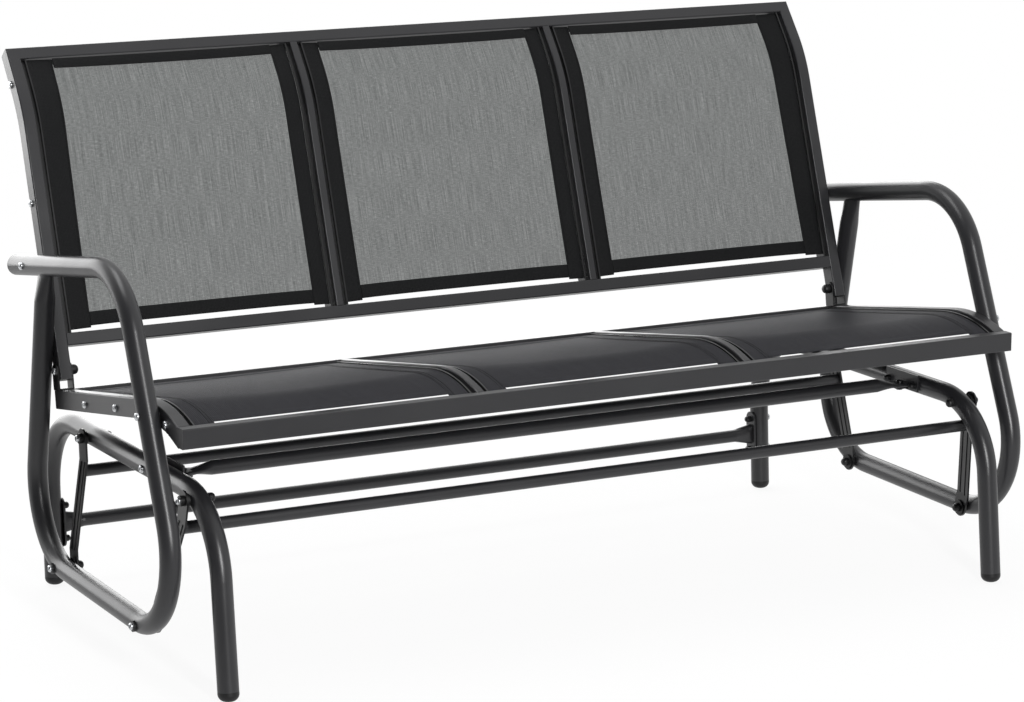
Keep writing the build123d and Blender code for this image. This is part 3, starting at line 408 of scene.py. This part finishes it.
# Charcoal powder coat on the steel tubes: satin, so tube tops carry a broad soft highlight
charcoal_coat = coated_metal(
    "charcoal_powder_coat",
    dark="#222224",
    light="#29292b",
    roughness=0.33,
    peel_mm=1.7,
    peel_depth_mm=0.07,
)
# Black powder coat on the pressed links, the U-brackets and the bolts of the front cross tube: darker, and a
# little glossier
black_coat = coated_metal(
    "black_powder_coat",
    dark="#0e0e0f",
    light="#141415",
    roughness=0.32,
    peel_mm=1.4,
    peel_depth_mm=0.05,
)
# Moulded polypropylene feet, plugs, bushes, washers and cap nuts: dull black
black_plastic = moulded_plastic(
    "moulded_polypropylene",
    dark="#0f0f10",
    light="#161617",
    roughness=0.42,
    grain_mm=0.7,
    grain_depth_mm=0.05,
)
# Zinc-plated steel screws, bolts, inserts and rivets: small bright points
zinc_plate = plated_metal(
    "zinc_plated_steel",
    dark="#b9bbbe",
    light="#d9dbdd",
    roughness=0.26,
    grain_mm=0.5,
    grain_depth_mm=0.02,
)
# Sling rails: aluminium with a black coat, so they merge with the hems and only their lips catch the light
rail_coat = coated_metal(
    "coated_sling_rail",
    dark="#0b0b0c",
    light="#111112",
    roughness=0.3,
    peel_mm=0.9,
    peel_depth_mm=0.02,
)
# Mesh of the back: one open layer, which lets the bright ground through. The weave of this and the other
# cloths is drawn two to three times as coarse as the real one, so that it shows.
back_mesh = woven_cloth(
    "coated_mesh_back",
    yarn="#18201d",
    fleck="#333d39",
    pitch_mm=2.0,
    openness=0.43,
    gloss=0.12,
    roughness=0.5,
)
# Seat cloth: the same yarn woven close, a dull black
seat_cloth = woven_cloth(
    "coated_mesh_seat",
    yarn="#161618",
    fleck="#4e4e52",
    pitch_mm=3.0,
    openness=0.0,
    gloss=0.03,
    roughness=0.6,
)
# Hems: two layers, so nothing shows through
hem_cloth = woven_cloth(
    "coated_mesh_hem",
    yarn="#0b0b0c",
    fleck="#1e1f20",
    pitch_mm=2.4,
    openness=0.0,
    gloss=0.1,
    roughness=0.5,
)
# Sewing thread: black polyester, hardly lighter than the hems
thread = woven_cloth(
    "polyester_thread",
    yarn="#0a0a0a",
    fleck="#121212",
    pitch_mm=1.4,
    openness=0.0,
    gloss=0.1,
    roughness=0.5,
)

FINISHES = {
    "powder_coat": charcoal_coat,
    "black_paint": black_coat,
    "black_plastic": black_plastic,
    "zinc": zinc_plate,
    "sling_rail": rail_coat,
    "back_mesh": back_mesh,
    "seat_mesh": seat_cloth,
}
for part in frame["record"]["subparts"]:
    cad = frame["nodes"][part["node"]]
    cad.data.materials.clear()
    cad.data.materials.append(FINISHES[part["material_slot"]])


def inset(corners, depth):
    """Corners of a side profile moved inside it by depth, square to both runs."""
    first, middle, last = (Vector(c) for c in corners)
    one = (middle - first).normalized()
    two = (last - middle).normalized()
    side_one = Vector((-one.y, one.x))
    side_two = Vector((-two.y, two.x))
    shift = (side_one + side_two) * (depth / (1 + side_one.dot(side_two)))
    return first + side_one * depth, middle + shift, last + side_two * depth


class ClothLine:
    """Line that the cloth follows from its upper or rear end: a run, a bend and a second run, as (y, z)."""

    def __init__(self, corners, bend, depth):
        first, middle, last = inset(corners, depth)
        self.start = first
        self.one = (middle - first).normalized()
        self.two = (last - middle).normalized()
        self.turn = self.one.angle(self.two)
        self.radius = bend - depth
        reach = self.radius * math.tan(self.turn / 2)
        self.first_run = (middle - first).length - reach
        self.arc = self.radius * self.turn
        self.length = self.first_run + self.arc + (last - middle).length - reach

    def at(self, distance):
        """Point and inward direction at a distance from the start."""
        inward = Vector((-self.one.y, self.one.x))
        bend_start = self.start + self.one * self.first_run
        if distance <= self.first_run:
            return self.start + self.one * distance, inward
        centre = bend_start + inward * self.radius
        angle = min((distance - self.first_run) / self.radius, self.turn)
        spoke = self.one * math.sin(angle) - inward * math.cos(angle)
        point = centre + spoke * self.radius
        beyond = max(distance - self.first_run - self.arc, 0.0)
        return point + self.two * beyond, -spoke


class Bay:
    """One stretched cloth: its line, its two edges in X, its length, its sag and the draw of its free
    ends."""

    def __init__(self, line, left, right, length, sag, draw):
        self.line = line
        self.left = left
        self.right = right
        self.length = length
        self.sag = sag
        self.draw = draw

    def place(self, x, distance, lift):
        """Where a point of the cloth lies: lift is outwards, towards the sitter."""
        across = (x - self.left) / (self.right - self.left)
        share = min(max(distance / self.length, 0.0), 1.0)
        fall = self.sag * math.sin(math.pi * across) * math.sin(math.pi * share) ** 0.5
        drawn = self.draw * (1 - abs(2 * across - 1) ** 4) * (1 - 2 * share)
        point, inward = self.line.at(distance + drawn)
        point = point + inward * (fall - lift)
        return Vector((x, point.x, point.y))


def laid_grid(name, bay, corners, step, lift):
    """Flat grid of cloth laid along its bay: corners are its left and right X at the start and at the end,
    and the distances where it starts and ends."""
    (left, right), (end_left, end_right), start, end = corners
    bpy.ops.object.select_all(action="DESELECT")
    across = max(1, round((right - left) / step))
    down = max(2, round((end - start) / step))
    bpy.ops.mesh.primitive_grid_add(x_subdivisions=across, y_subdivisions=down, size=1.0)
    piece = bpy.context.object
    piece.name = name
    mesh = piece.data
    mesh.uv_layers[0].name = "cloth"
    flat = []
    for vertex in mesh.vertices:
        share = vertex.co.y + 0.5
        first = left + share * (end_left - left)
        last = right + share * (end_right - right)
        flat.append((first + (vertex.co.x + 0.5) * (last - first), start + share * (end - start)))
    for loop in mesh.loops:
        mesh.uv_layers["cloth"].data[loop.index].uv = flat[loop.vertex_index]
    for vertex, (x, distance) in zip(mesh.vertices, flat):
        vertex.co = bay.place(x, distance, lift)
    select_only(piece)
    bpy.ops.object.mode_set(mode="EDIT")
    bpy.ops.mesh.select_all(action="SELECT")
    bpy.ops.mesh.flip_normals()
    bpy.ops.object.mode_set(mode="OBJECT")
    return piece


def finish_cloth(piece, thickness, material):
    """Gives a laid grid its thickness, its soft edges, its finish and its body."""
    thick = piece.modifiers.new("thickness", "SOLIDIFY")
    thick.thickness = thickness
    thick.offset = 0.0
    if thickness > CLOTH_THICKNESS:
        soft = piece.modifiers.new("soft_edge", "BEVEL")
        soft.width = thickness * HEM_ROUNDING
        soft.segments = 2
        soft.limit_method = "ANGLE"
    apply_modifiers(piece)
    bpy.ops.object.shade_smooth_by_angle(angle=CLOTH_SMOOTHING)
    piece.data.materials.append(material)
    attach(piece, "seat")
    return piece


def stitch_row(name, bay, edge_x, end_x, start, end, lift):
    """Row of stitches from (edge_x, start) to (end_x, end): a narrow strip with a gap after every
    stitch."""
    half = STITCH_WIDTH / 2
    corners = ((edge_x - half, edge_x + half), (end_x - half, end_x + half), start, end)
    piece = laid_grid(name, bay, corners, STITCH_GAP, lift)
    per_stitch = round(STITCH_LENGTH / STITCH_GAP) + 1
    select_only(piece)
    bpy.ops.object.mode_set(mode="EDIT")
    bpy.ops.mesh.select_all(action="DESELECT")
    bpy.ops.object.mode_set(mode="OBJECT")
    for face in piece.data.polygons:
        face.select = face.index % per_stitch == 0
    bpy.ops.object.mode_set(mode="EDIT")
    bpy.ops.mesh.select_mode(type="FACE")
    bpy.ops.mesh.delete(type="FACE")
    bpy.ops.object.mode_set(mode="OBJECT")
    return finish_cloth(piece, STITCH_THICKNESS, thread)


def declare(group, side):
    """Hides the CAD sling that the cloth stands in for."""
    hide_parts(group + "_sling_" + side)


def back_cloth(side, left, right, left_hem, right_hem):
    """Sling of the back with black hems all round: a side hem is given by its width at the top and at the
    foot."""
    bay = Bay(back_line, left, right, back_line.length, BACK_SAG, BACK_DRAW)
    name = "back_cloth_" + side
    whole = ((left, right), (left, right), 0.0, bay.length)
    sheet = laid_grid(name, bay, whole, CLOTH_STEP, 0.0)
    finish_cloth(sheet, CLOTH_THICKNESS, back_mesh)
    inner_top = (left + left_hem[0], right - right_hem[0])
    inner_foot = (left + left_hem[1], right - right_hem[1])
    foot_start = bay.length - FOOT_HEM
    side_end = bay.length + BACK_HEM_REACH
    hems = {
        "left": ((left, inner_top[0]), (left, inner_foot[0]), HEM_START, side_end),
        "right": ((inner_top[1], right), (inner_foot[1], right), HEM_START, side_end),
        "top": (inner_top, inner_top, HEM_START, TOP_HEM),
        "foot": (inner_foot, inner_foot, foot_start, bay.length),
    }
    for label, corners in hems.items():
        lift = TOP_HEM_LIFT if label == "top" else 0.0
        hem = laid_grid(name + "_hem_" + label, bay, corners, CLOTH_STEP, lift)
        finish_cloth(hem, HEM_THICKNESS, hem_cloth)
    rows = {
        "left": (inner_top[0] - STITCH_INSET, inner_foot[0] - STITCH_INSET),
        "right": (inner_top[1] + STITCH_INSET, inner_foot[1] + STITCH_INSET),
    }
    on_hem = HEM_THICKNESS / 2
    for label, (top_x, foot_x) in rows.items():
        row_name = name + "_stitches_" + label
        stitch_row(row_name, bay, top_x, foot_x, TOP_HEM, foot_start, on_hem)
    declare("back", side)


def seat_sling(side, left, right):
    """Sling of the seat: its side hems carry two rows of stitches and reach past its front edge."""
    length = seat_line.length - SEAT_FRONT_STEP
    bay = Bay(seat_line, left, right, length, SEAT_SAG, 0.0)
    name = "seat_cloth_" + side
    whole = ((left, right), (left, right), 0.0, length)
    sheet = laid_grid(name, bay, whole, CLOTH_STEP, 0.0)
    finish_cloth(sheet, CLOTH_THICKNESS, seat_cloth)
    inner = (left + SEAT_SIDE_HEM, right - SEAT_SIDE_HEM)
    side_end = seat_line.length + SEAT_HEM_REACH
    hems = {
        "left": ((left, inner[0]), (left, inner[0]), HEM_START, side_end),
        "right": ((inner[1], right), (inner[1], right), HEM_START, side_end),
        "rear": (inner, inner, 0.0, SEAT_END_HEM),
        "front": (inner, inner, length - SEAT_END_HEM, length),
    }
    for label, corners in hems.items():
        hem = laid_grid(name + "_hem_" + label, bay, corners, CLOTH_STEP, 0.0)
        finish_cloth(hem, SEAT_HEM_THICKNESS, seat_cloth)
    row_end = side_end - STITCH_END_GAP
    on_hem = SEAT_HEM_THICKNESS / 2
    for row_number, row_inset in enumerate(SEAT_STITCH_ROWS, 1):
        for label, x in (("left", left + row_inset), ("right", right - row_inset)):
            row_name = name + "_stitches_" + label + "_" + str(row_number)
            stitch_row(row_name, bay, x, x, STITCH_END_GAP, row_end, on_hem)
    declare("seat", side)


seat_line = ClothLine(SEAT_CORNERS, SEAT_BEND, CLOTH_DEPTH)
back_line = ClothLine(BACK_CORNERS, BACK_BEND, CLOTH_DEPTH)
outer_hem = (OUTER_HEM_TOP, OUTER_HEM_FOOT)
divider_hem = (DIVIDER_HEM, DIVIDER_HEM)
for side, left, right, left_hem, right_hem in (
    ("left", -OUTER_BAY[1], -OUTER_BAY[0], outer_hem, divider_hem),
    ("middle", -MIDDLE_BAY, MIDDLE_BAY, divider_hem, divider_hem),
    ("right", OUTER_BAY[0], OUTER_BAY[1], divider_hem, outer_hem),
):
    back_cloth(side, left, right, left_hem, right_hem)
    seat_sling(side, left, right)


def ground_material():
    """Pale seamless ground. Seen directly it is white, and it still takes a faint shadow of the bench. In
    reflections it shows a painted light that darkens towards the front left: painted shade, not cast by the
    studio lamps."""
    material, tree = new_material("seamless_ground")
    rays = node(tree, "ShaderNodeLightPath")
    seen = rays.outputs["Is Camera Ray"]
    for kind in ("Is Glossy Ray", "Is Transmission Ray"):
        either = node(tree, "ShaderNodeMath", {0: seen, 1: rays.outputs[kind]}, operation="MAXIMUM")
        seen = either.outputs[0]
    place = node(tree, "ShaderNodeTexCoord").outputs["Object"]
    away = node(tree, "ShaderNodeVectorMath", {0: place}, operation="LENGTH")
    plain = node(
        tree,
        "ShaderNodeMapRange",
        {
            "Value": away.outputs["Value"],
            "From Min": SHADOW_NEAR,
            "From Max": SHADOW_FAR,
            "To Min": WHITE_NEAR,
        },
    )
    share = node(tree, "ShaderNodeMath", {0: seen, 1: plain.outputs[0]}, operation="MULTIPLY")
    spot = node(tree, "ShaderNodeSeparateXYZ", {0: place})
    rearward = node(
        tree,
        "ShaderNodeMath",
        {0: spot.outputs["X"], 1: spot.outputs["Y"]},
        operation="ADD",
    )
    # Painted light on the ground, seen only in reflections: brighter towards the rear right, painted shade
    # towards the front left
    painted_reflection_glow = node(
        tree,
        "ShaderNodeMapRange",
        {
            "Value": rearward.outputs[0],
            "From Min": GROUND_DIM_AT,
            "From Max": GROUND_LIT_AT,
            "To Min": GROUND_DIM,
            "To Max": GROUND_LIT,
        },
    )
    level = node(
        tree,
        "ShaderNodeMath",
        {0: painted_reflection_glow.outputs[0], 1: rays.outputs["Is Camera Ray"]},
        operation="MAXIMUM",
    )
    dull = node(tree, "ShaderNodeBsdfDiffuse", {"Color": colour("#f4f4f4")})
    white = node(tree, "ShaderNodeEmission", {"Color": WHITE, "Strength": level.outputs[0]})
    ground_mix = {0: share.outputs[0], 1: dull.outputs[0], 2: white.outputs[0]}
    finish_material(tree, node(tree, "ShaderNodeMixShader", ground_mix))
    return material


bpy.ops.object.select_all(action="DESELECT")
bpy.ops.mesh.primitive_plane_add(size=GROUND_SIZE, location=(0.0, 0.0, -GROUND_DROP))
ground = bpy.context.object
ground.name = "ground"
ground.data.materials.append(ground_material())


def studio_room():
    """World with a white studio wall behind and beside the bench, and a darker room in front of it. It is
    white all round where it is seen directly."""
    world = bpy.data.worlds.new("studio")
    world.use_nodes = True
    tree = world.node_tree
    tree.nodes.clear()
    rays = node(tree, "ShaderNodeLightPath")
    seen = node(
        tree,
        "ShaderNodeMath",
        {0: rays.outputs["Is Camera Ray"], 1: rays.outputs["Is Transmission Ray"]},
        operation="MAXIMUM",
    )
    look = node(tree, "ShaderNodeTexCoord").outputs["Generated"]
    way = node(tree, "ShaderNodeSeparateXYZ", {0: look})
    rearward = node(
        tree,
        "ShaderNodeMath",
        {0: way.outputs["X"], 1: way.outputs["Y"]},
        operation="ADD",
    )
    room = node(
        tree,
        "ShaderNodeMapRange",
        {
            "Value": rearward.outputs[0],
            "From Min": ROOM_DIM_AT,
            "From Max": ROOM_LIT_AT,
            "To Min": ROOM_DIM,
            "To Max": ROOM_LIT,
        },
    )
    level = node(tree, "ShaderNodeMath", {0: room.outputs[0], 1: seen.outputs[0]}, operation="MAXIMUM")
    wall = node(tree, "ShaderNodeBackground", {"Color": WHITE, "Strength": level.outputs[0]})
    node(tree, "ShaderNodeOutputWorld", {"Surface": wall.outputs[0]})
    return world


bpy.context.scene.world = studio_room()


def soft_lamp(name, place, aim, width, height, watts):
    """Large soft box that shines from place towards aim."""
    lamp = bpy.data.lights.new(name, "AREA")
    lamp.shape = "RECTANGLE"
    lamp.size = width
    lamp.size_y = height
    lamp.energy = watts
    body = bpy.data.objects.new(name, lamp)
    bpy.context.scene.collection.objects.link(body)
    body.visible_camera = False
    body.location = place
    body.rotation_euler = (Vector(aim) - Vector(place)).to_track_quat("-Z", "Y").to_euler()


# A broad panel behind the bench, a small box above it and a tall narrow strip in front, whose reflections
# make the streaks on the tubes
soft_lamp("back_panel", place=(-0.3, 3.4, 1.3), aim=(-0.3, 0.0, 0.9), width=6.6, height=2.4, watts=150.0)
soft_lamp("top_box", place=(-0.8, 0.5, 3.2), aim=(0.0, 0.0, 0.4), width=2.2, height=1.2, watts=30.0)
soft_lamp("front_strip", place=(-0.8, -4.8, 2.0), aim=(-0.3, 0.0, 0.4), width=0.4, height=2.6, watts=180.0)

# Camera at the photograph's viewing angle
eye = bpy.data.cameras.new("camera")
eye.sensor_fit = "HORIZONTAL"
eye.sensor_width = SENSOR_WIDTH
eye.lens = FOCAL_PIXELS / PICTURE_WIDTH * SENSOR_WIDTH
eye.clip_end = CAMERA_REACH
camera = bpy.data.objects.new("camera", eye)
bpy.context.scene.collection.objects.link(camera)
camera.location = CAMERA_PLACE
camera.rotation_euler = (math.radians(90 - CAMERA_DOWN), 0.0, math.radians(-CAMERA_RIGHT))
bpy.context.scene.camera = camera

bpy.context.scene.view_settings.view_transform = "Standard"
